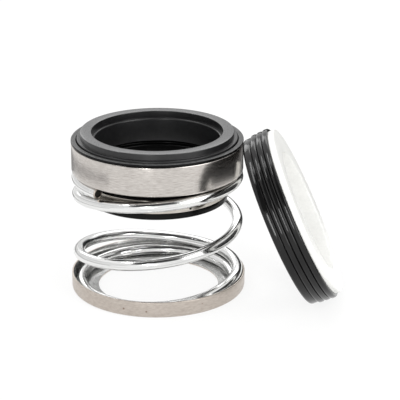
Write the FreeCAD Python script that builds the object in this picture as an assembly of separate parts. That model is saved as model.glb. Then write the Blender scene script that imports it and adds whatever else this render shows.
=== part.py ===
import FreeCAD, Part
import math
import os

# Component mechanical seal: a rubber-bellows shaft seal standing upright on its spring holder,
# with its ceramic seat leaning on the head. Millimetres. The shaft's axis is Z, up is the
# lapped seal face, and the origin is on the axis at the holder's underside.

# Shaft and the room or grip that each piece has on it
shaft_r = 19.0
bellows_grip = 0.2
ring_clearance = 0.6
holder_clearance = 0.2
seat_clearance = 0.6

# Primary ring of carbon: its body, and the raised nose whose land runs on the seat
ring_wall = 5.6
ring_body_height = 7.8
nose_step = 1.1
nose_height = 1.9
nose_land = 3.5
mouth_depth = 2.2
ring_edge = 0.25

# Shell: a drawn can round the rubber, whose inward flange takes the spring's push
shell_sheet = 0.6
shell_height = 9.5
shell_corner_r = 0.9
flange_hole_gap = 0.2
spring_seat_gap = 0.05
sheet_edge = 0.15

# Thrust disc under the bellows' floor
disc_thickness = 0.8

# Spring: round wire, closed at both ends, wound right-handed, its free height over the wire
wire_d = 3.5
coil_overhang = 0.05
spring_turns = 3.63
spring_free_height = 38.45
spring_cut_angle = 223.5
# The last turn is wound smaller by this much, so that it tucks under the turn above it
end_turn_shrink = 1.5
# Lead in mm per turn, at stations counted in turns from the top end of the wire: a closed
# turn, the open turns, a rest on the wire's own lower end, and a drop past it to the holder
lead_stations = [
    (0.0, 0.4), (0.7, 0.4), (0.91, 17.2), (2.34, 21.9),
    (2.46, 2.6), (2.6, 1.6), (2.76, 18.0), (2.95, 0.0), (spring_turns, 0.0),
]

# Spring holder: a drawn cup with a shaft hole, in which the last coil sits
holder_sheet = 0.6
holder_height = 5.2
holder_corner_r = 1.0
coil_side_gap = 0.05

# Bellows: head cup round the ring, rolled fold, and tail that grips the shaft
cup_wall = 1.2
cup_lip_height = 7.0
cup_lip_slope = 0.4
cup_floor = 1.7
ring_rest_width = 2.0
neck_clearance = 0.65
neck_wall = 1.4
tail_wall = 1.6
tail_top_drop = 1.2
fold_groove_depth = 4.1
tail_drop = 8.9
tail_lip_step = 0.7
tail_lip_height = 1.95
rubber_edge = 0.3

# Drive band: a steel hoop clamped round the tail, level with the tail's lip
band_sheet = 0.6
band_height = 4.25
band_fit = 0.05

# Seat: ceramic ring in a ribbed rubber cup
seat_wall = 5.4
seat_thickness = 10.3
seat_flange_step = 2.3
seat_flange_height = 1.8
seat_edge = 0.3
seat_cup_back = 1.4
seat_cup_lap = 3.2
seat_cup_wall = 2.6
seat_back_band = 2.6
seat_back_corner_r = 0.9
rib_count = 3
rib_rise = 0.5
rib_growth = 0.2
rib_groove_depth = 0.55
rib_round_r = 0.35

# How the seat leans on the head: how far its back edge reaches over the shell's rim, the tilt
# of a seat too small for that, and, as turns from +X, where its axis points and where it touches
seat_lean_rise = 0.89
seat_least_tilt = 15.0
seat_heading = -3.5
seat_touch = -8.8
seat_lean_gap = 0.25

# Heights that follow from the stack
spring_bottom = holder_sheet + wire_d / 2
flange_bottom = holder_sheet + spring_free_height + spring_seat_gap
disc_bottom = flange_bottom + shell_sheet
shell_top = flange_bottom + shell_height
cup_bottom = disc_bottom + disc_thickness
ring_back = cup_bottom + cup_floor
ring_shoulder = ring_back + ring_body_height
ring_face = ring_shoulder + nose_height
tail_bottom = flange_bottom - tail_drop
band_bottom = tail_bottom + tail_lip_height

# Radii that follow from the shaft outwards
bellows_bore_r = shaft_r - bellows_grip
ring_bore_r = shaft_r + ring_clearance
ring_body_r = ring_bore_r + ring_wall
nose_r = ring_body_r - nose_step
shell_inner_r = ring_body_r + cup_wall
shell_r = shell_inner_r + shell_sheet
coil_r = shell_r + coil_overhang - wire_d / 2
neck_r = coil_r - wire_d / 2 - neck_clearance
flange_hole_r = neck_r + flange_hole_gap
tail_lip_r = neck_r - tail_lip_step
band_inner_r = tail_lip_r - band_sheet
band_seat_r = band_inner_r - band_fit
holder_inner_r = coil_r + wire_d / 2 + coil_side_gap
holder_r = holder_inner_r + holder_sheet
seat_bore_r = shaft_r + seat_clearance
seat_body_r = seat_bore_r + seat_wall
seat_back_band_r = seat_body_r + seat_cup_wall


def corner_arc(before, corner, after, radius):
    """Ends and middle of the arc that rounds a corner between two neighbours."""
    to_before = (before - corner).normalize()
    to_after = (after - corner).normalize()
    half_angle = to_before.getAngle(to_after) / 2
    reach = radius / math.tan(half_angle)
    bisector = (to_before + to_after).normalize()
    middle = corner + bisector * (radius / math.sin(half_angle) - radius)
    return corner + to_before * reach, middle, corner + to_after * reach


def turned(outline):
    """Solid of revolution about Z from corners (r, z) or (r, z, rounding radius)."""
    corners = [FreeCAD.Vector(corner[0], 0, corner[1]) for corner in outline]
    radii = [corner[2] if len(corner) > 2 else 0 for corner in outline]
    same_point = 1e-6
    edges = []
    starts = []
    ends = []
    for i, corner in enumerate(corners):
        if radii[i] > 0:
            after = corners[(i + 1) % len(corners)]
            start, middle, end = corner_arc(corners[i - 1], corner, after, radii[i])
            edges.append(Part.Arc(start, middle, end).toShape())
        else:
            start = end = corner
        starts.append(start)
        ends.append(end)
    for i, start in enumerate(starts):
        if (start - ends[i - 1]).Length > same_point:
            edges.append(Part.LineSegment(ends[i - 1], start).toShape())
    wire = Part.Wire(Part.__sortEdges__(edges))
    axis_foot = FreeCAD.Vector(0, 0, 0)
    return Part.Face(wire).revolve(axis_foot, FreeCAD.Vector(0, 0, 1), 360)


def lead_at(turn):
    """Lead of the coil at a turn, in mm per turn, read along the stations."""
    for (turn_a, lead_a), (turn_b, lead_b) in zip(lead_stations, lead_stations[1:]):
        if turn <= turn_b:
            return lead_a + (lead_b - lead_a) * (turn - turn_a) / (turn_b - turn_a)
    return 0.0


def drop_to(turn):
    """How far the wire has come down at a turn, summed between the stations."""
    drop = 0.0
    for (turn_a, lead_a), (turn_b, _) in zip(lead_stations, lead_stations[1:]):
        stop = min(turn, turn_b)
        if stop > turn_a:
            drop += (lead_a + lead_at(stop)) / 2 * (stop - turn_a)
    return drop


def wire_point(turn):
    """Point on the wire's centre line, a turn measured down from its top end."""
    angle = math.radians(spring_cut_angle - 360 * turn)
    last_turn_share = max(0.0, turn - (spring_turns - 1))
    radius = coil_r - end_turn_shrink * last_turn_share
    travel = spring_free_height - wire_d
    height = spring_bottom + travel * (1 - drop_to(turn) / drop_to(spring_turns))
    return FreeCAD.Vector(radius * math.cos(angle), radius * math.sin(angle), height)


def make_spring():
    points_per_turn = 16
    count = round(spring_turns * points_per_turn)
    points = [wire_point(spring_turns * i / count) for i in range(count + 1)]
    curve = Part.BSplineCurve()
    curve.interpolate(points)
    path = Part.Wire(curve.toShape())
    section = Part.Circle(points[0], curve.tangent(curve.FirstParameter)[0], wire_d / 2)
    return path.makePipeShell([Part.Wire(section.toShape())], True, True)


def make_spring_holder():
    hole_r = shaft_r + holder_clearance
    inner_corner_r = holder_corner_r - holder_sheet
    return turned([
        (hole_r, 0),
        (holder_r, 0, holder_corner_r),
        (holder_r, holder_height, sheet_edge),
        (holder_inner_r, holder_height, sheet_edge),
        (holder_inner_r, holder_sheet, inner_corner_r),
        (hole_r, holder_sheet),
    ])


def make_retainer_shell():
    return turned([
        (flange_hole_r, flange_bottom),
        (shell_r, flange_bottom, shell_corner_r),
        (shell_r, shell_top, sheet_edge),
        (shell_inner_r, shell_top, sheet_edge),
        (shell_inner_r, disc_bottom, shell_corner_r - shell_sheet),
        (flange_hole_r, disc_bottom),
    ])


def make_thrust_disc():
    corner_room = shell_corner_r - shell_sheet
    rim_r = shell_inner_r - corner_room
    return turned([
        (flange_hole_r, disc_bottom),
        (rim_r, disc_bottom),
        (rim_r, cup_bottom),
        (flange_hole_r, cup_bottom),
    ])


def make_primary_ring():
    mouth_r = nose_r - nose_land
    mouth_floor = ring_face - mouth_depth
    return turned([
        (ring_bore_r, ring_back),
        (ring_body_r - ring_edge, ring_back),
        (ring_body_r, ring_back + ring_edge),
        (ring_body_r, ring_shoulder),
        (nose_r, ring_shoulder),
        (nose_r, ring_face - ring_edge),
        (nose_r - ring_edge, ring_face),
        (mouth_r, ring_face),
        (mouth_r, mouth_floor),
        (ring_bore_r, mouth_floor),
    ])


def make_bellows():
    cup_top = cup_bottom + cup_lip_height + cup_floor
    tail_top = ring_back - tail_top_drop
    rest_inner_r = ring_body_r - ring_rest_width
    groove_bottom = ring_back - fold_groove_depth
    groove_outer_r = neck_r - neck_wall
    groove_inner_r = bellows_bore_r + tail_wall
    groove_round = (groove_outer_r - groove_inner_r) / 2
    fold_shoulder = band_bottom + band_height + rubber_edge
    fold_round = neck_r - band_seat_r
    return turned([
        (bellows_bore_r, tail_bottom, rubber_edge),
        (tail_lip_r, tail_bottom, rubber_edge),
        (tail_lip_r, band_bottom),
        (band_seat_r, band_bottom),
        (band_seat_r, fold_shoulder),
        (neck_r, fold_shoulder + fold_round, rubber_edge),
        (neck_r, cup_bottom),
        (shell_inner_r, cup_bottom),
        (shell_inner_r, cup_top, rubber_edge),
        (ring_body_r + cup_lip_slope, cup_top),
        (ring_body_r, cup_top - cup_lip_slope),
        (ring_body_r, ring_back),
        (rest_inner_r, ring_back, rubber_edge),
        (groove_outer_r, tail_top, rubber_edge),
        (groove_outer_r, groove_bottom, groove_round),
        (groove_inner_r, groove_bottom, groove_round),
        (groove_inner_r, tail_top, rubber_edge),
        (bellows_bore_r, tail_top, rubber_edge),
    ])


def make_drive_band():
    band_top = band_bottom + band_height
    return turned([
        (band_inner_r, band_bottom),
        (tail_lip_r, band_bottom, sheet_edge),
        (tail_lip_r, band_top, sheet_edge),
        (band_inner_r, band_top),
    ])


def make_seat_ring():
    """Ceramic seat, its back towards z = 0, with a flange round its lapped face."""
    flange_r = seat_body_r + seat_flange_step
    flange_back = seat_thickness - seat_flange_height
    return turned([
        (seat_bore_r + seat_edge, seat_cup_back),
        (seat_body_r, seat_cup_back),
        (seat_body_r, flange_back),
        (flange_r, flange_back),
        (flange_r, seat_thickness - seat_edge),
        (flange_r - seat_edge, seat_thickness),
        (seat_bore_r + seat_edge, seat_thickness),
        (seat_bore_r, seat_thickness - seat_edge),
        (seat_bore_r, seat_cup_back + seat_edge),
    ])


def make_seat_cup():
    """Rubber cup of the seat: plain back band, then ribs that grow towards the flange."""
    cup_front = seat_thickness - seat_flange_height
    rib_pitch = (cup_front - seat_back_band) / rib_count
    back_inner_r = seat_body_r - seat_cup_lap
    outline = [
        (back_inner_r, 0, rubber_edge),
        (seat_back_band_r, 0, seat_back_corner_r),
        (seat_back_band_r, seat_back_band - rib_round_r),
        (seat_back_band_r - rib_groove_depth, seat_back_band),
    ]
    for rib in range(rib_count):
        crest_r = seat_back_band_r + rib_rise + rib_growth * rib / (rib_count - 1)
        rib_start = seat_back_band + rib * rib_pitch
        rib_end = rib_start + rib_pitch
        outline.append((crest_r, rib_start + rib_round_r, rib_round_r))
        outline.append((crest_r, rib_end - rib_round_r, rib_round_r))
        outline.append((crest_r - rib_groove_depth, rib_end))
    outline += [
        (seat_body_r, cup_front),
        (seat_body_r, seat_cup_back),
        (back_inner_r, seat_cup_back),
    ]
    return turned(outline)


def leaning(piece):
    """Tip a seat piece over, stand its back edge on the floor and lean it on the shell."""
    hoop_r = seat_back_band_r - seat_back_corner_r
    rim_rise = shell_top + seat_lean_rise - seat_back_corner_r
    seat_reach = 2 * hoop_r * math.cos(math.radians(seat_least_tilt))
    tilt = math.acos(min(rim_rise, seat_reach) / (2 * hoop_r))
    tip = FreeCAD.Rotation(FreeCAD.Vector(0, 1, 0), 90 - math.degrees(tilt))
    turn = FreeCAD.Rotation(FreeCAD.Vector(0, 0, 1), seat_heading)
    rotation = turn.multiply(tip)
    axis = rotation.multVec(FreeCAD.Vector(0, 0, 1))
    bearing = math.radians(seat_touch)
    outward = FreeCAD.Vector(math.cos(bearing), math.sin(bearing), 0)
    across = (outward - axis * outward.dot(axis)).normalize()
    hoop_centre = outward * (shell_r + seat_lean_gap + seat_back_corner_r) + across * hoop_r
    hoop_centre.z = hoop_r * math.cos(tilt) + seat_back_corner_r
    piece.Placement = FreeCAD.Placement(hoop_centre - axis * seat_back_corner_r, rotation)
    return piece


pieces = {
    "spring_holder": make_spring_holder(),
    "spring": make_spring(),
    "retainer_shell": make_retainer_shell(),
    "thrust_disc": make_thrust_disc(),
    "bellows": make_bellows(),
    "primary_ring": make_primary_ring(),
    "drive_band": make_drive_band(),
    "seat_ring": leaning(make_seat_ring()),
    "seat_cup": leaning(make_seat_cup()),
}

os.makedirs("parts", exist_ok=True)
for name, solid in pieces.items():
    solid.exportStep("parts/" + name + ".step")
    print(name, "valid", solid.isValid(), "volume", round(solid.Volume, 1))
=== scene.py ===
import math

import bpy
from mathutils import Matrix, Vector
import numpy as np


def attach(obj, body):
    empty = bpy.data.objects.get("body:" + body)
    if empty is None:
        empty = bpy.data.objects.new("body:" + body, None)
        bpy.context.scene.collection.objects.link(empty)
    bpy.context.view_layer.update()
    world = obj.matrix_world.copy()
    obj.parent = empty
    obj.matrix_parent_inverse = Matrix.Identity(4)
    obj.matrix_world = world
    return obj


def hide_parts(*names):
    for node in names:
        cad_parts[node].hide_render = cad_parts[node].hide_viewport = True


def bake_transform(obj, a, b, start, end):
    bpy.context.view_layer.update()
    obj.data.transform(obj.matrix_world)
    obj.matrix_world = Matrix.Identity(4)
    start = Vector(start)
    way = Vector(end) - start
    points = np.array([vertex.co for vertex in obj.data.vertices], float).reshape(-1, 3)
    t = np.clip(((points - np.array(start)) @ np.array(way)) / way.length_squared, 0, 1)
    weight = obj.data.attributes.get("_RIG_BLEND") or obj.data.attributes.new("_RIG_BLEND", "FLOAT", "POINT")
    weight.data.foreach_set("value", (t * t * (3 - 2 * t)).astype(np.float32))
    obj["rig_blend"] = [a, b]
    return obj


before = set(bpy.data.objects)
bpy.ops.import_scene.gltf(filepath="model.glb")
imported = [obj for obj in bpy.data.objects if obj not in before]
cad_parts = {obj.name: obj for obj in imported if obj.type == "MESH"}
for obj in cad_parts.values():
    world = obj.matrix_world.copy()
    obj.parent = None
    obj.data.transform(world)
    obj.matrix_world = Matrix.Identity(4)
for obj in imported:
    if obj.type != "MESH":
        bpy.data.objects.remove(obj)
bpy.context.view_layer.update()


# Camera. A long lens half a metre in front of the seal, looking down on it by 20 degrees. It is
# turned a little to the right, so that the head stands left of the middle and the leaning seat
# has room.
mm = 0.001
eye_back = 502.264
eye_height = 212.174
look_down = 20.076
look_right = 1.52636
scene = bpy.context.scene
bpy.ops.object.camera_add(
    location=(0, -eye_back * mm, eye_height * mm),
    rotation=(math.radians(90 - look_down), 0, -math.radians(look_right)))
camera = bpy.context.object
camera.data.sensor_width = 36
camera.data.lens = 151.8
camera.data.clip_start = 0.01
scene.camera = camera
scene.view_settings.view_transform = "Standard"


# Light. A tent of white cloth gives even light from all round, and six soft boxes stand round it.
# The thin strips draw bright lines along the ribs, the boxes behind light the backs of the coils,
# and the large one fills from the right. Looked at, or mirrored in steel, the tent is plain white.
def shade(hex_code):
    """Linear colour, with alpha, of an sRGB hex value."""
    parts = [int(hex_code[i:i + 2], 16) / 255 for i in (1, 3, 5)]
    linear = [p / 12.92 if p <= 0.04045 else ((p + 0.055) / 1.055) ** 2.4 for p in parts]
    return (*linear, 1.0)


def node(tree, kind, inputs=None, stops=(), **settings):
    """Add a node, set its options, and give each named input a plain value or a link.

    The stops are the place and the hex colour of each end of a colour ramp."""
    new = tree.nodes.new("ShaderNode" + kind)
    for name, value in settings.items():
        setattr(new, name, value)
    for socket, value in (inputs or {}).items():
        if isinstance(value, bpy.types.NodeSocket):
            tree.links.new(value, new.inputs[socket])
        else:
            new.inputs[socket].default_value = value
    for i, (place, tint) in enumerate(stops):
        new.color_ramp.elements[i].position = place
        new.color_ramp.elements[i].color = shade(tint)
    return new


def looked_at(tree):
    """One where the camera, a mirror or glass looks, and nought for a ray that carries light."""
    ray = node(tree, "LightPath")
    seen = node(tree, "Math", {
        0: ray.outputs["Is Camera Ray"], 1: ray.outputs["Is Glossy Ray"]}, operation="MAXIMUM")
    seen = node(tree, "Math", {
        0: seen.outputs[0], 1: ray.outputs["Is Transmission Ray"]}, operation="MAXIMUM")
    return seen.outputs[0]


world = bpy.data.worlds.new("white tent")
scene.world = world
world.use_nodes = True
tree = world.node_tree
tree.nodes.clear()
cast = node(tree, "Background", {"Color": shade("#FFFFFF"), "Strength": 0.88})
white = node(tree, "Background", {"Color": shade("#FFFFFF"), "Strength": 1.0})
pick = node(tree, "MixShader", {0: looked_at(tree), 1: cast.outputs[0], 2: white.outputs[0]})
node(tree, "OutputWorld", {"Surface": pick.outputs[0]})

# Each lamp's name, its place in metres, its roll in degrees, its size in metres and its watts.
aimed_at = Vector((0.015, 0, 0.02))
for name, spot, roll, width, tall, power in (
    ("strip box above left", (-0.396, 0.089, 0.703), 0, 0.5, 0.06, 0.8),
    ("strip box in front", (-0.216, -0.771, 0.23), 28, 0.06, 0.42, 1.1),
    ("soft box behind", (0.12, 0.6, 0.5), 0, 0.5, 0.3, 0.8),
    ("soft box behind on the left", (-0.25, 0.7, 0.33), 0, 0.22, 0.25, 0.35),
    ("large soft box on the right", (0.5, -0.42, 0.36), 0, 0.5, 0.6, 2.3),
    ("strip box overhead", (-0.02, 0.12, 0.75), 0, 0.6, 0.12, 0.9),
):
    bpy.ops.object.light_add(type="AREA", location=spot)
    lamp = bpy.context.object
    lamp.name = name
    lamp.data.shape = "RECTANGLE"
    lamp.data.size = width
    lamp.data.size_y = tall
    lamp.data.energy = power
    lamp.rotation_euler = (aimed_at - Vector(spot)).to_track_quat("-Z", "Y").to_euler()
    lamp.rotation_euler.rotate_axis("Z", math.radians(roll))


# Cards. Sheets like grey paper on stands, 100 mm and more from the shaft's axis. They glow with a
# fixed tint and only reflections see them, so they are painted reflections. Dark ones on the right,
# above the camera and overhead give the steel its dark bands, and pale ones on the left and behind
# give it its soft greys.
def blank_material(name):
    """A material with nothing in its tree, and that tree."""
    material = bpy.data.materials.new(name)
    material.use_nodes = True
    material.node_tree.nodes.clear()
    return material, material.node_tree


def hide_from_eye(card, tint):
    """Make a card glow with its tint where only reflections see it: a painted reflection."""
    card.visible_camera = False
    card.visible_diffuse = False
    card.visible_shadow = False
    paper, tree = blank_material(card.name)
    glow = node(tree, "Emission", {"Color": shade(tint), "Strength": 1.0})
    node(tree, "OutputMaterial", {"Surface": glow.outputs[0]})
    card.data.materials.append(paper)


# The curved ones run from one bearing to another, in degrees from the right by way of the back.
# Their radius, foot and height are in millimetres. A point up to a degree past an end is kept.
slack = 1
for name, start, stop, radius, foot, tall, tint in (
    ("arc_card", -24, 45, 125, 0, 105, "#404040"),
    ("low_arc_card", 45, 80, 125, 0, 50, "#404040"),
    ("low_left_card", 135, 212, 115, 0, 16, "#C2C2C2"),
    ("low_back_card", 95, 135, 115, 0, 16, "#9C9C9C"),
    ("far_card", -25, 92, 100, 2, 30, "#2A2B2C"),
):
    bpy.ops.object.select_all(action="DESELECT")
    bpy.ops.mesh.primitive_circle_add(
        vertices=96, radius=radius * mm, location=(0, 0, foot * mm))
    card = bpy.context.object
    card.name = name
    bpy.ops.object.mode_set(mode="EDIT")
    bpy.ops.mesh.extrude_edges_move(TRANSFORM_OT_translate={"value": (0, 0, tall * mm)})
    bpy.ops.mesh.select_all(action="DESELECT")
    bpy.ops.object.mode_set(mode="OBJECT")
    for vertex in card.data.vertices:
        bearing = math.degrees(math.atan2(vertex.co.y, vertex.co.x))
        vertex.select = (bearing - start + slack) % 360 > stop - start + 2 * slack
    bpy.ops.object.mode_set(mode="EDIT")
    bpy.ops.mesh.delete(type="VERT")
    bpy.ops.object.mode_set(mode="OBJECT")
    hide_from_eye(card, tint)

# The flat ones have their place in metres, their turn in degrees and their size in metres.
for name, spot, turn, width, tall, tint in (
    ("overhead_card", (-0.215, -0.12, 0.78), (0, 0, 0), 0.73, 0.5, "#5A5A5A"),
    ("camera_card", (-0.08, -0.53, 0.6), (40, 0, 0), 1.0, 0.46, "#3A3A3A"),
    ("left_card", (-0.85, 0.1, 0.3), (90, 0, 90), 1.7, 0.6, "#ECECEC"),
    ("back_card", (-0.15, 0.95, 0.4), (90, 0, 0), 1.4, 0.8, "#E8E8E8"),
):
    bpy.ops.object.select_all(action="DESELECT")
    bpy.ops.mesh.primitive_plane_add(
        size=1, location=spot, rotation=[math.radians(t) for t in turn])
    card = bpy.context.object
    card.name = name
    card.scale = (width, tall, 1)
    hide_from_eye(card, tint)


# Floor. A sheet of board, a hair below the holder. It is matt and white, so it keeps the soft
# shadow of the seal, and looks white to the eye and in the steel beyond that shadow.
floor_gap = 0.05
white_share = 0.8
bpy.ops.object.select_all(action="DESELECT")
bpy.ops.mesh.primitive_plane_add(size=6, location=(0, 0, -floor_gap * mm))
floor = bpy.context.object
floor.name = "floor"
board, tree = blank_material("matt white board")
matt = node(tree, "BsdfDiffuse", {"Color": shade("#DFDFDE"), "Roughness": 0.5})
lift = node(tree, "Emission", {"Color": shade("#FFFFFF"), "Strength": 1.05})
lifted = node(tree, "MixShader", {0: white_share, 1: matt.outputs[0], 2: lift.outputs[0]})
pick = node(tree, "MixShader", {0: looked_at(tree), 1: matt.outputs[0], 2: lifted.outputs[0]})
node(tree, "OutputMaterial", {"Surface": pick.outputs[0]})
floor.data.materials.append(board)


# Spring holder. A cup drawn from thin stainless sheet, with a hole for the shaft in its floor.
# The last coil of the spring sits in it. It was tumbled after it was drawn, to take off the burrs.
def ring_of(name, outline, around=192):
    """A turned ring: a circle is extruded round its section, closed, and its corners bevelled.

    The outline lists (radius, height) or (radius, height, rounding) in millimetres."""
    bpy.ops.object.select_all(action="DESELECT")
    radius, height = outline[0][:2]
    bpy.ops.mesh.primitive_circle_add(
        vertices=around, radius=radius * mm, location=(0, 0, 0))
    piece = bpy.context.object
    piece.name = piece.data.name = name
    bpy.ops.object.mode_set(mode="EDIT")
    bpy.ops.transform.translate(value=(0, 0, height * mm))
    for corner in outline[1:] + outline[:1]:
        bpy.ops.mesh.extrude_edges_move()
        ratio = corner[0] / radius
        bpy.ops.transform.resize(value=(ratio, ratio, 1), center_override=(0, 0, height * mm))
        bpy.ops.transform.translate(value=(0, 0, (corner[1] - height) * mm))
        radius, height = corner[:2]
    bpy.ops.mesh.select_all(action="SELECT")
    bpy.ops.mesh.remove_doubles(threshold=0.001 * mm)
    bpy.ops.mesh.normals_make_consistent(inside=False)
    for corner in outline:
        if len(corner) > 2:
            pick_circle(piece, corner[0], corner[1])
            bpy.ops.mesh.bevel(offset=corner[2] * mm, segments=4, affect="EDGES")
    bpy.ops.object.mode_set(mode="OBJECT")
    bpy.ops.object.shade_smooth_by_angle(angle=math.radians(35))
    return piece


def pick_circle(piece, radius, height, reach=0.004):
    """Select, in edit mode, the edges of one circle about the shaft's axis."""
    bpy.ops.mesh.select_all(action="DESELECT")
    bpy.ops.object.mode_set(mode="OBJECT")
    on_circle = [
        abs(math.hypot(v.co.x, v.co.y) / mm - radius) < reach
        and abs(v.co.z / mm - height) < reach
        for v in piece.data.vertices
    ]
    for edge in piece.data.edges:
        edge.select = on_circle[edge.vertices[0]] and on_circle[edge.vertices[1]]
    bpy.ops.object.mode_set(mode="EDIT")
    bpy.ops.mesh.select_mode(type="EDGE")


holder_r = 27.7
holder_wall = 0.6
holder_height = 5.2
holder_hole_r = 19.2
holder_bore_r = holder_r - holder_wall
holder = ring_of("spring_holder_cup", [
    (holder_hole_r, 0, 0.15), (holder_r, 0, 1.0), (holder_r, holder_height, 0.2),
    (holder_bore_r, holder_height, 0.2), (holder_bore_r, holder_wall, 0.4),
    (holder_hole_r, holder_wall, 0.15)])


def spot_on(tree, under, centre, size, tint, solid, cover):
    """Lay a soft-edged spot of a tint over the colour under it, and give the new colour.

    Its centre and size are in millimetres. It is even out to the solid share of that size."""
    place = node(tree, "TexCoord").outputs["Object"]
    near = node(tree, "Mapping", {
        "Vector": place, "Location": [c * mm for c in centre], "Scale": [s * mm for s in size]},
        vector_type="TEXTURE")
    far = node(tree, "VectorMath", {0: near.outputs[0]}, operation="LENGTH")
    fade = node(tree, "MapRange", {
        "Value": far.outputs["Value"], "From Min": solid, "From Max": 1.0,
        "To Min": cover, "To Max": 0.0})
    return node(tree, "MixRGB", {
        "Fac": fade.outputs["Result"], "Color1": under, "Color2": shade(tint)}).outputs[0]


# Tumbled stainless steel. The stones in the drum leave a warm, soft grey, dented all over, with
# faint streaks round the cup from the draw and a few specks of rust. Real dents and streaks are
# under 0.1 mm. They are drawn 1.4 mm and 17 mm long, and 0.4 mm high, so that they show.
# Here and below, nearly all of a noise's values lie between its two ends.
noise_ends = {"From Min": 0.3, "From Max": 0.7}
tumbled, tree = blank_material("tumbled stainless steel")
place = node(tree, "TexCoord").outputs["Object"]
lines = node(tree, "Mapping", {
    "Vector": place, "Scale": (16.7 * mm, 16.7 * mm, 0.385 * mm)}, vector_type="TEXTURE")
streak = node(tree, "TexNoise", {
    "Vector": lines.outputs[0], "Scale": 1.0, "Detail": 3.0, "Roughness": 0.6})
stones = node(tree, "Mapping", {
    "Vector": place, "Scale": (1.43 * mm, 1.43 * mm, 0.385 * mm)}, vector_type="TEXTURE")
dent = node(tree, "TexNoise", {
    "Vector": stones.outputs[0], "Scale": 1.0, "Detail": 5.0, "Roughness": 0.6})
tone = node(tree, "ValToRGB", {"Fac": dent.outputs["Fac"]},
            stops=((0.3, "#B4AAA1"), (0.7, "#CDC4BB"))).outputs[0]
for bearing, height, size in (
    (-113, 2.5, 0.42), (-98, 2.2, 0.36), (-61, 3.3, 0.25), (-160, 1.8, 0.3), (24, 2.9, 0.34),
    (75, 1.6, 0.28), (131, 3.4, 0.4),
):
    at = math.radians(bearing)
    speck_at = (holder_r * math.cos(at), holder_r * math.sin(at), height)
    tone = spot_on(tree, tone, speck_at, [size] * 3, "#6E4F3B", solid=0.4, cover=0.75)
dull = node(tree, "MapRange", {
    "Value": streak.outputs["Fac"], **noise_ends, "To Min": 0.28, "To Max": 0.42})
grain = node(tree, "Bump", {
    "Height": dent.outputs["Fac"], "Strength": 0.25, "Distance": 0.02 * mm})
steel = node(tree, "BsdfPrincipled", {
    "Base Color": tone, "Metallic": 1.0,
    "Roughness": dull.outputs["Result"], "Normal": grain.outputs["Normal"]})
node(tree, "OutputMaterial", {"Surface": steel.outputs[0]})
holder.data.materials.append(tumbled)

# Punch-polished stainless steel. The punch that drew the cup has burnished its inside, so it is
# bright and neutral, with soft scuffs 2.5 mm across.
polished, tree = blank_material("punch-polished stainless steel")
place = node(tree, "TexCoord").outputs["Object"]
scuff = node(tree, "TexNoise", {"Vector": place, "Scale": 1 / (2.5 * mm), "Detail": 4.0})
tone = node(tree, "ValToRGB", {"Fac": scuff.outputs["Fac"]},
            stops=((0.3, "#B5B5B4"), (0.7, "#D3D3D2")))
dull = node(tree, "MapRange", {
    "Value": scuff.outputs["Fac"], **noise_ends, "To Min": 0.24, "To Max": 0.14})
steel = node(tree, "BsdfPrincipled", {
    "Base Color": tone.outputs["Color"], "Metallic": 1.0, "Roughness": dull.outputs["Result"]})
node(tree, "OutputMaterial", {"Surface": steel.outputs[0]})
holder.data.materials.append(polished)
for face in holder.data.polygons:
    radius = math.hypot(face.center.x, face.center.y) / mm
    if face.center.z / mm > holder_wall / 2 and radius < holder_bore_r + 0.1:
        face.material_index = 1
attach(holder, "base")
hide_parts("spring_holder")


# Spring. One length of stainless wire, coiled cold, closed at both ends and cut by shears. The top
# coil bears on the shell and the last one sits in the holder, and the turns between them close up
# as the head comes down.
wire_r = 1.75
coil_r = 25.3
turns = 3.63
end_shrink = 1.5
cut_bearing = math.radians(223.5)
top_height = 37.3
last_height = 2.35
# Lead of the coil, at stations counted in turns from the top end
leads = [(0.0, 0.4), (0.7, 0.4), (0.91, 17.2), (2.34, 21.9), (2.46, 2.6), (2.6, 1.6),
         (2.76, 18.0), (2.95, 0.0), (turns, 0.0)]


def fallen(turn):
    """How far the coil has come down at a turn, before it is fitted to its free height."""
    drop = 0.0
    for (a, lead_a), (b, lead_b) in zip(leads, leads[1:]):
        stop = min(turn, b)
        if stop > a:
            lead_stop = lead_a + (lead_b - lead_a) * (stop - a) / (b - a)
            drop += (lead_a + lead_stop) / 2 * (stop - a)
    return drop


def wire_height(turn):
    """Height of the wire's middle at a turn."""
    return top_height - (top_height - last_height) * fallen(turn) / fallen(turns)


steps_per_turn = 72
count = round(turns * steps_per_turn)
path = bpy.data.curves.new("spring wire", "CURVE")
path.dimensions = "3D"
line = path.splines.new("POLY")
line.points.add(count)
for i, point in enumerate(line.points):
    turn = turns * i / count
    bearing = cut_bearing - 2 * math.pi * turn
    radius = coil_r - end_shrink * max(0.0, turn - (turns - 1))
    point.co = (radius * math.cos(bearing) * mm, radius * math.sin(bearing) * mm,
                wire_height(turn) * mm, 1)
path.bevel_depth = wire_r * mm
path.bevel_resolution = 6
bpy.ops.object.select_all(action="DESELECT")
spring = bpy.data.objects.new("coil_spring", path)
scene.collection.objects.link(spring)
spring.select_set(True)
bpy.context.view_layer.objects.active = spring
bpy.ops.object.convert(target="MESH")
spring = bpy.context.object
# Points round the wire, and points on its whole tube
section = len(spring.data.vertices) // (count + 1)
tube = section * (count + 1)
bpy.ops.object.mode_set(mode="EDIT")
bpy.ops.mesh.select_all(action="DESELECT")
bpy.ops.mesh.select_mode(type="EDGE")
bpy.ops.mesh.select_non_manifold()
bpy.ops.mesh.edge_face_add()
bpy.ops.mesh.select_all(action="SELECT")
bpy.ops.mesh.normals_make_consistent(inside=False)
bpy.ops.mesh.select_mode(type="FACE")
bpy.ops.mesh.select_all(action="DESELECT")
bpy.ops.object.mode_set(mode="OBJECT")

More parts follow.
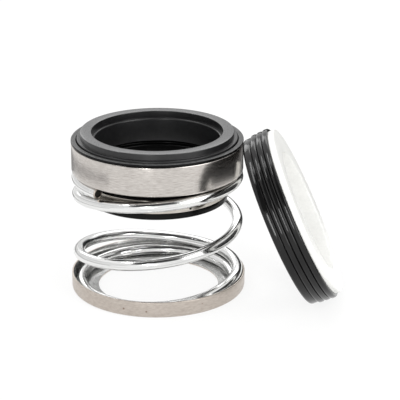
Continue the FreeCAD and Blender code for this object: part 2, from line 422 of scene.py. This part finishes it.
# The shears leave a burr round a hollow in the top end, which is the one that shows.
burr_width = 0.5
burr_height = 0.15
hollow_slope = 0.2
hollow_depth = 0.6
for face in spring.data.polygons:
    face.select = len(face.vertices) == section and face.center.z > last_height * mm * 2
bpy.ops.object.mode_set(mode="EDIT")
bpy.ops.mesh.inset(thickness=burr_width * mm, depth=burr_height * mm)
bpy.ops.mesh.inset(thickness=hollow_slope * mm, depth=-hollow_depth * mm)
bpy.ops.object.mode_set(mode="OBJECT")
bpy.ops.object.shade_smooth_by_angle(angle=math.radians(35))

# Each point's place on the wire: round it as cosine and sine, and along it in turns
lay = []
for i in range(len(spring.data.vertices)):
    lap = 2 * math.pi * (i % section) / section
    lay += (math.cos(lap), math.sin(lap), turns * (i // section) / count) if i < tube else (0, 0, 0)
spring.data.attributes.new("lay", "FLOAT_VECTOR", "POINT").data.foreach_set("vector", lay)

# Bright drawn stainless wire. The die leaves it almost a mirror, with faint lines that run along
# the wire and follow its bend. They are a few hundredths of a millimetre apart in the real wire,
# and drawn 0.44 mm apart and 18 mm long so that they show.
line_apart = 0.4375
line_length = 17.66
drawn, tree = blank_material("bright drawn stainless wire")
place = node(tree, "Attribute", attribute_name="lay").outputs["Vector"]
lines = node(tree, "Mapping", {
    "Vector": place, "Scale": (
        wire_r / line_apart, wire_r / line_apart, 2 * math.pi * coil_r / line_length)})
die = node(tree, "TexNoise", {
    "Vector": lines.outputs[0], "Scale": 1.0, "Detail": 3.0, "Roughness": 0.6})
tone = node(tree, "ValToRGB", {"Fac": die.outputs["Fac"]},
            stops=((0.3, "#CECECE"), (0.5, "#EBEBEA")))
dull = node(tree, "MapRange", {
    "Value": die.outputs["Fac"], **noise_ends, "To Min": 0.2, "To Max": 0.12})
draw = node(tree, "Bump", {
    "Height": die.outputs["Fac"], "Strength": 0.12, "Distance": 0.03 * mm})
steel = node(tree, "BsdfPrincipled", {
    "Base Color": tone.outputs["Color"], "Metallic": 1.0,
    "Roughness": dull.outputs["Result"], "Normal": draw.outputs["Normal"]})
node(tree, "OutputMaterial", {"Surface": steel.outputs[0]})
spring.data.materials.append(drawn)

# Sheared stainless edge. The shears tear the steel, so it is rough, with no mirror in it. Its dark
# colour is painted shade, for the hollow in the wire's end and the gap under the rubber lip. The grains
# of the tear, really about 0.1 mm, are drawn 0.67 mm across.
sheared_and_shade, tree = blank_material("shear-torn stainless edge with painted shade")
place = node(tree, "TexCoord").outputs["Object"]
tear = node(tree, "TexNoise", {"Vector": place, "Scale": 1 / (0.667 * mm), "Detail": 3.0})
tone = node(tree, "ValToRGB", {"Fac": tear.outputs["Fac"]},
            stops=((0.35, "#1E1D1C"), (0.75, "#5A5652")))
edge = node(tree, "BsdfPrincipled", {
    "Base Color": tone.outputs["Color"], "Metallic": 1.0, "Roughness": 0.7})
node(tree, "OutputMaterial", {"Surface": edge.outputs[0]})
spring.data.materials.append(sheared_and_shade)
spring.data.materials.append(tumbled)
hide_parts("spring")
# The insets have carried the first ring's points into the hollow and put new ones round it. The
# hollow is torn, and painted dark as the shade in it; the burr between it and the wire is a plain grey.
for face in spring.data.polygons:
    in_hollow = max(face.vertices) >= tube or len(face.vertices) == section
    if in_hollow and min(face.vertices) < section:
        face.material_index = 1
    elif min(face.vertices) >= tube:
        face.material_index = 2

# The coils above the first free turn go with the head, and the last turn stays where it is.
# Each section of the wire between them moves as one, so that the wire stays round.
closed_turn = 1.0
seated_turn = turns - 1
shut_span = wire_height(closed_turn) - wire_height(seated_turn)
shut_span -= 2 * wire_r * (seated_turn - closed_turn)
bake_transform(spring, "base", "head", start=(0, 0, last_height * mm), end=(0, 0, top_height * mm))
weights = []
for i in range(len(spring.data.vertices)):
    turn = turns * (i // section) / count if i < tube else 0.0
    shut = wire_height(seated_turn) + 2 * wire_r * (seated_turn - turn)
    share = (wire_height(turn) - shut) / shut_span
    if turn <= closed_turn:
        share = 1.0
    elif turn >= seated_turn:
        share = 0.0
    weights.append(min(max(share, 0.0), 1.0))
spring.data.attributes["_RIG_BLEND"].data.foreach_set("value", weights)


# Retainer shell. A can drawn from stainless sheet round the bellows' head, open above, with a
# flange turned in below that takes the spring's push. Its rim was sheared, and its outside was
# brushed while it spun in a lathe.
shell_r = 27.0
shell_wall = 0.6
shell_foot = 39.1
shell_top = 48.6
flange_r = 23.1
shell_bore_r = shell_r - shell_wall
shell_floor = shell_foot + shell_wall
shell = ring_of("head_shell", [
    (flange_r, shell_foot, 0.15), (shell_r, shell_foot, 0.9), (shell_r, shell_top, 0.3),
    (shell_bore_r, shell_top, 0.15), (shell_bore_r, shell_floor, 0.3),
    (flange_r, shell_floor, 0.15)], around=256)

# Brushed stainless steel. The brush leaves a silky, warm grey, with fine lines round the can that
# spread each reflection up and down. The real lines are under 0.05 mm apart. They are drawn
# 0.24 mm apart and 2.2 mm long so that they show.
brushed, tree = blank_material("brushed stainless steel")
place = node(tree, "TexCoord").outputs["Object"]
lines = node(tree, "Mapping", {
    "Vector": place, "Scale": (2.222 * mm, 2.222 * mm, 0.2381 * mm)}, vector_type="TEXTURE")
streak = node(tree, "TexNoise", {
    "Vector": lines.outputs[0], "Scale": 1.0, "Detail": 4.0, "Roughness": 0.65})
tone = node(tree, "ValToRGB", {"Fac": streak.outputs["Fac"]},
            stops=((0.3, "#B5AFAA"), (0.7, "#D8D3CE")))
dull = node(tree, "MapRange", {
    "Value": streak.outputs["Fac"], **noise_ends, "To Min": 0.18, "To Max": 0.24})
grain = node(tree, "Bump", {
    "Height": streak.outputs["Fac"], "Strength": 0.15, "Distance": 0.01 * mm})
round_axis = node(tree, "Tangent", direction_type="RADIAL", axis="Z")
steel = node(tree, "BsdfPrincipled", {
    "Base Color": tone.outputs["Color"], "Metallic": 1.0,
    "Roughness": dull.outputs["Result"], "Anisotropic": 0.4, "Anisotropic Rotation": 0.25,
    "Tangent": round_axis.outputs[0], "Normal": grain.outputs["Normal"]})
node(tree, "OutputMaterial", {"Surface": steel.outputs[0]})
shell.data.materials.append(brushed)

# The top of the rim and its inner corner are as the shears left them, and painted dark as the shade
# in the gap under the rubber lip.
sheared_r = 26.75
shell.data.materials.append(sheared_and_shade)
for face in shell.data.polygons:
    radius = math.hypot(face.center.x, face.center.y)
    if face.center.z > (shell_top - 0.15) * mm and radius < sheared_r * mm:
        face.material_index = 1
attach(shell, "head")
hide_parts("retainer_shell")


# Thrust disc. A flat washer blanked from stainless sheet and tumbled. It lies loose between the
# shell's flange and the rubber, and its CAD piece is right as it is.
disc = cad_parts["thrust_disc"]
disc.data.materials.clear()
disc.data.materials.append(tumbled)


# Bellows. One moulding of black nitrile rubber: a cup round the carbon ring, a rolled fold, and
# a tail that grips the shaft. Its lip stands proud of the shell and folds a little over its rim.
grip_r = 18.8
tail_r = 22.2
tail_foot = 30.2
tail_top = 41.0
band_foot = 32.15
band_seat_r = 21.55
fold_z = 36.7
neck_r = 22.9
gap_r = 21.5
gap_bore_r = 20.4
gap_floor = 38.1
cup_r = 25.2
cup_foot = 40.5
cup_floor = 42.2
lip_r = 27.05
lip_foot = 48.85
lip_top = 49.45
bellows = ring_of("rubber_bellows", [
    (grip_r, tail_foot, 0.3), (tail_r, tail_foot, 0.3), (tail_r, band_foot, 0.1),
    (band_seat_r, band_foot), (band_seat_r, fold_z),
    (neck_r, 38.05, 0.3), (neck_r, cup_foot), (shell_bore_r, cup_foot), (shell_bore_r, 48.62),
    (26.7, lip_foot), (lip_r, lip_foot, 0.1), (lip_r, lip_top, 0.2), (25.5, lip_top, 0.1),
    (25.3, 48.9), (cup_r, 48.7), (cup_r, cup_floor), (23.2, cup_floor, 0.3),
    (gap_r, tail_top, 0.3), (gap_r, gap_floor, 0.5),
    (gap_bore_r, gap_floor, 0.5), (gap_bore_r, tail_top, 0.3), (grip_r, tail_top, 0.3)])

# Moulded nitrile rubber. The mould leaves it near black and satin, with a faint bloom in patches
# of 7 mm. The skin's grain is about 0.1 mm in real rubber, and drawn 0.29 mm across.
nitrile, tree = blank_material("moulded nitrile rubber")
place = node(tree, "TexCoord").outputs["Object"]
bloom = node(tree, "TexNoise", {"Vector": place, "Scale": 1 / (6.667 * mm), "Detail": 4.0})
tone = node(tree, "ValToRGB", {"Fac": bloom.outputs["Fac"]},
            stops=((0.35, "#060606"), (0.75, "#0C0C0C")))
grit = node(tree, "TexNoise", {"Vector": place, "Scale": 1 / (0.2857 * mm), "Detail": 2.0})
skin = node(tree, "Bump", {
    "Height": grit.outputs["Fac"], "Strength": 0.15, "Distance": 0.02 * mm})
rubber = node(tree, "BsdfPrincipled", {
    "Base Color": tone.outputs["Color"], "Roughness": 0.24, "IOR": 1.4,
    "Specular IOR Level": 0.2, "Normal": skin.outputs["Normal"]})
node(tree, "OutputMaterial", {"Surface": rubber.outputs[0]})
bellows.data.materials.append(nitrile)

# The lip's top face is a matt grey, much lighter than the rest of the rubber, with a mottle drawn
# 0.83 mm across. The blade that trimmed the lip's top after moulding has left it matt and greyer,
# with drag marks drawn 0.83 mm apart, coarser than real.
lip_top_grey, tree = blank_material("lighter grey nitrile lip top")
place = node(tree, "TexCoord").outputs["Object"]
drag = node(tree, "TexNoise", {"Vector": place, "Scale": 1 / (0.8333 * mm), "Detail": 4.0})
tone = node(tree, "ValToRGB", {"Fac": drag.outputs["Fac"]},
            stops=((0.3, "#343434"), (0.75, "#565656")))
rubber = node(tree, "BsdfPrincipled", {
    "Base Color": tone.outputs["Color"], "Roughness": 0.5, "IOR": 1.5})
node(tree, "OutputMaterial", {"Surface": rubber.outputs[0]})
bellows.data.materials.append(lip_top_grey)
for face in bellows.data.polygons:
    if face.center.z > (lip_top - 0.03) * mm:
        face.material_index = 1
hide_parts("bellows")

# The fold rolls between the head and the tail. The tail's own wall runs up inside the fold, and
# all of it goes with the tail.
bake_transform(bellows, "head", "tail", start=(0, 0, 40.0 * mm), end=(0, 0, fold_z * mm))
tail_wall_r = 20.6
weights = [0.0] * len(bellows.data.vertices)
held = bellows.data.attributes["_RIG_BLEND"]
held.data.foreach_get("value", weights)
for vertex in bellows.data.vertices:
    if math.hypot(vertex.co.x, vertex.co.y) < tail_wall_r * mm:
        weights[vertex.index] = 1.0
held.data.foreach_set("value", weights)


# Drive band. A hoop of thin stainless strip, pressed over the tail so that it turns with the
# shaft. A weld closes it, which has left the strip grey there, and one punch mark locks it. The
# punch mark's dent is not modelled: it is painted near black as the shade in it.
band_r = 22.2
band_bore_r = 21.6
band_top = 36.4
band = ring_of("drive_hoop", [
    (band_bore_r, band_foot, 0.1), (band_r, band_foot, 0.2),
    (band_r, band_top, 0.2), (band_bore_r, band_top, 0.1)])

# Bright rolled stainless strip. The rolls leave it smooth and bright, with lines that run round
# the hoop. Real ones are under 0.05 mm apart, and these are drawn 0.33 mm apart and 4 mm long.
strip, tree = blank_material("bright rolled steel strip")
place = node(tree, "TexCoord").outputs["Object"]
lines = node(tree, "Mapping", {
    "Vector": place, "Scale": (4 * mm, 4 * mm, 0.3333 * mm)}, vector_type="TEXTURE")
streak = node(tree, "TexNoise", {
    "Vector": lines.outputs[0], "Scale": 1.0, "Detail": 3.0, "Roughness": 0.6})
tone = node(tree, "ValToRGB", {"Fac": streak.outputs["Fac"]},
            stops=((0.3, "#B5AFA8"), (0.7, "#DAD5CD"))).outputs[0]
# The punch mark, painted near black as the shade in its dent, and the grey of the weld
for centre, size, tint in (
    ((9.97, -19.83, 33.1), (0.5, 0.5, 0.5), "#141312"),
    ((13.05, -17.96, 33.6), (2.4, 2.4, 1.1), "#524E4A"),
):
    tone = spot_on(tree, tone, centre, size, tint, solid=0.7, cover=1.0)
steel = node(tree, "BsdfPrincipled", {"Base Color": tone, "Metallic": 1.0, "Roughness": 0.24})
node(tree, "OutputMaterial", {"Surface": steel.outputs[0]})
band.data.materials.append(strip)
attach(band, "tail")
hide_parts("drive_band")


# Primary ring. Resin-bonded carbon graphite, turned, with a raised nose whose face is lapped
# flat. It sits in the rubber cup, turns with it, and runs on the seat.
ring_bore_r = 19.6
mouth_r = 20.6
mouth_floor = 49.7
shoulder = 50.0
nose_r = 24.1
nose_top = 51.9
ring = ring_of("carbon_ring", [
    (ring_bore_r, cup_floor), (cup_r, cup_floor, 0.25), (cup_r, shoulder, 0.2),
    (nose_r, shoulder, 0.1), (nose_r, nose_top, 0.25),
    (mouth_r, nose_top, 0.2), (mouth_r, mouth_floor), (ring_bore_r, mouth_floor, 0.42)])

# Turned carbon graphite. The tool leaves it dark grey with a soft, even sheen. The carbon's grain
# is under 0.1 mm, and drawn 1.1 mm across so that it shows.
carbon, tree = blank_material("turned carbon graphite")
place = node(tree, "TexCoord").outputs["Object"]
speck = node(tree, "TexNoise", {"Vector": place, "Scale": 1 / (1.111 * mm), "Detail": 4.0})
tone = node(tree, "ValToRGB", {"Fac": speck.outputs["Fac"]},
            stops=((0.3, "#141415"), (0.75, "#1E1E1F")))
graphite = node(tree, "BsdfPrincipled", {
    "Base Color": tone.outputs["Color"], "Roughness": 0.3, "IOR": 1.5})
node(tree, "OutputMaterial", {"Surface": graphite.outputs[0]})
ring.data.materials.append(carbon)

# Lapped carbon graphite. The lap gives the face a grey shine that the turned sides lack. Its faint
# rings spread the shine, so it is brighter in front and behind than at the sides. The grit's
# marks, really a few hundredths of a millimetre, are drawn 0.4 mm across.
lapped, tree = blank_material("lapped carbon graphite")
place = node(tree, "TexCoord").outputs["Object"]
speck = node(tree, "TexNoise", {"Vector": place, "Scale": 1 / (0.4 * mm), "Detail": 3.0})
dull = node(tree, "MapRange", {
    "Value": speck.outputs["Fac"], **noise_ends, "To Min": 0.26, "To Max": 0.34})
round_axis = node(tree, "Tangent", direction_type="RADIAL", axis="Z")
graphite = node(tree, "BsdfPrincipled", {
    "Base Color": shade("#1C1C1E"), "Roughness": dull.outputs["Result"], "IOR": 2.05,
    "Anisotropic": 0.7, "Anisotropic Rotation": 0.25, "Tangent": round_axis.outputs[0]})
node(tree, "OutputMaterial", {"Surface": graphite.outputs[0]})
ring.data.materials.append(lapped)
for face in ring.data.polygons:
    if face.center.z > (nose_top - 0.05) * mm:
        face.material_index = 1
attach(ring, "head")
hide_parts("primary_ring")


# Seat ring. Alumina powder, pressed and fired, with a flange round its face. It was ground all
# over, and its face lapped. It is modelled upright and then tipped over to lean on the head.
seat_tilt = 24.505
seat_heading = -3.5
seat_back = Vector((37.4327 * mm, -10.7331 * mm, 24.8217 * mm))


def lean(piece):
    """Tip a seat piece over from upright and set it where it stands, then fix it in its mesh."""
    tip = Matrix.Rotation(math.radians(90 - seat_tilt), 4, "Y")
    turn = Matrix.Rotation(math.radians(seat_heading), 4, "Z")
    bpy.ops.object.select_all(action="DESELECT")
    piece.select_set(True)
    bpy.context.view_layer.objects.active = piece
    piece.matrix_world = Matrix.Translation(seat_back) @ turn @ tip
    bpy.ops.object.transform_apply(location=True, rotation=True, scale=True)


seat_bore_r = 19.6
body_r = 25.0
cup_back = 1.4
cup_face = 8.5
flange_out_r = 27.3
seat_face = 10.3
seat = ring_of("alumina_seat", [
    (seat_bore_r, cup_back, 0.3), (body_r, cup_back), (body_r, cup_face),
    (flange_out_r, cup_face, 0.1), (flange_out_r, seat_face, 0.3),
    (seat_bore_r, seat_face, 0.3)])
lean(seat)

# Ground alumina ceramic. White with a trace of warmth, and a soft shine from the wheel. Its grain
# is a few hundredths of a millimetre, and drawn 0.8 mm across so that it shows.
alumina, tree = blank_material("ground alumina ceramic")
place = node(tree, "TexCoord").outputs["Object"]
grain = node(tree, "TexNoise", {"Vector": place, "Scale": 1 / (0.8 * mm), "Detail": 4.0})
tone = node(tree, "ValToRGB", {"Fac": grain.outputs["Fac"]},
            stops=((0.35, "#F1F1EE"), (0.65, "#F6F6F3")))
dull = node(tree, "MapRange", {
    "Value": grain.outputs["Fac"], **noise_ends, "To Min": 0.3, "To Max": 0.4})
ceramic = node(tree, "BsdfPrincipled", {
    "Base Color": tone.outputs["Color"], "Roughness": dull.outputs["Result"], "IOR": 1.76})
node(tree, "OutputMaterial", {"Surface": ceramic.outputs[0]})
seat.data.materials.append(alumina)
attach(seat, "base")
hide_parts("seat_ring")


# Seat cup. Black nitrile rubber moulded round the back of the ceramic, with three ribs that press
# into the housing and seal it there.
cup_bore_r = 19.9
# Each rib is a pair of rounded corners, with the bottom of a groove between it and the next.
cup = ring_of("ribbed_seat_cup", [
    (cup_bore_r, 0, 0.3), (27.6, 0, 0.9), (27.6, 2.2, 0.25), (27.3, 2.6),
    (28.1, 2.9, 0.4), (28.1, 4.25, 0.4), (27.6, 4.57),
    (28.2, 4.88, 0.4), (28.2, 6.22, 0.4), (27.7, 6.53),
    (28.3, 6.84, 0.4), (28.3, 8.19, 0.4), (27.75, cup_face, 0.1),
    (body_r, cup_face), (body_r, cup_back), (cup_bore_r, cup_back)])
lean(cup)

# Mould-polished nitrile rubber. The mould's ribs were polished, so the rubber is black with a
# clear gloss that draws thin bright lines along them. Its bloom lies in patches of 4.5 mm.
glossy, tree = blank_material("mould-polished nitrile rubber")
place = node(tree, "TexCoord").outputs["Object"]
bloom = node(tree, "TexNoise", {"Vector": place, "Scale": 1 / (4.545 * mm), "Detail": 5.0})
tone = node(tree, "ValToRGB", {"Fac": bloom.outputs["Fac"]},
            stops=((0.35, "#0D0D0D"), (0.75, "#171717")))
dull = node(tree, "MapRange", {
    "Value": bloom.outputs["Fac"], **noise_ends, "To Min": 0.12, "To Max": 0.14})
rubber = node(tree, "BsdfPrincipled", {
    "Base Color": tone.outputs["Color"], "Roughness": dull.outputs["Result"], "IOR": 1.46,
    "Specular IOR Level": 0.38})
node(tree, "OutputMaterial", {"Surface": rubber.outputs[0]})
cup.data.materials.append(glossy)
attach(cup, "base")
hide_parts("seat_cup")
